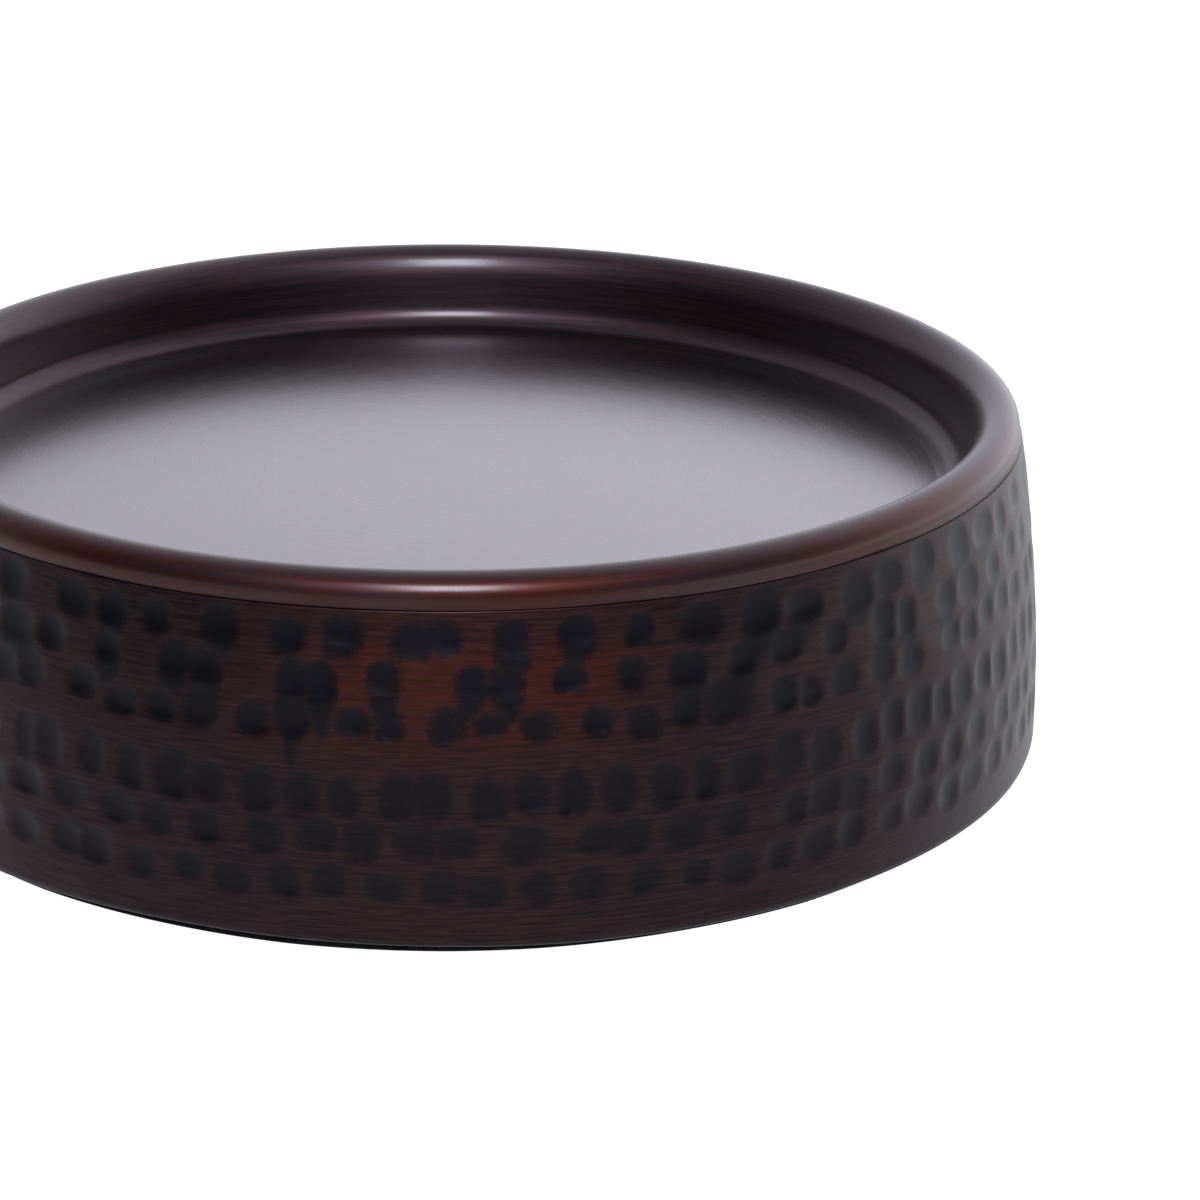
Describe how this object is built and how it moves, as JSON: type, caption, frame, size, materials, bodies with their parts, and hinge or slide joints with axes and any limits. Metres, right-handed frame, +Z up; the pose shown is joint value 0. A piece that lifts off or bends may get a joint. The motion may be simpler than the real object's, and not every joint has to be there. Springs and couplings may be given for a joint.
{
  "type": "hammered copper dish",
  "caption": "Low round double-walled dish with a hammered outer wall, a smooth rolled rim, a shallow flat-floored tray and a thin foot pad.",
  "frame": {"origin": "middle of the pad's underside, on the surface that the dish stands on", "axes": "+Z up along the dish's axis, out of the tray; +X and +Y are any two level directions, as the dish is round"},
  "size_m": [0.11, 0.11, 0.032],
  "materials": {
    "tray_copper": "dark antiqued copper, brushed round, clear satin lacquer",
    "hammered_copper": "hammered copper, black-brown in the marks and rubbed back to reddish brown on the lands, clear satin lacquer",
    "plain_copper": "bare copper sheet, as rolled",
    "solder": "dull tin solder",
    "adhesive_film": "thin adhesive film",
    "foam_pad": "matt black closed-cell foam sheet"
  },
  "bodies": {
    "root": {"tray_pan": "tray_copper", "hammered_wall": "hammered_copper", "rim_solder_ring": "solder", "base_plate": "plain_copper", "base_solder_ring": "solder", "pad_adhesive": "adhesive_film", "base_pad": "foam_pad"}
  },
  "joints": []
}
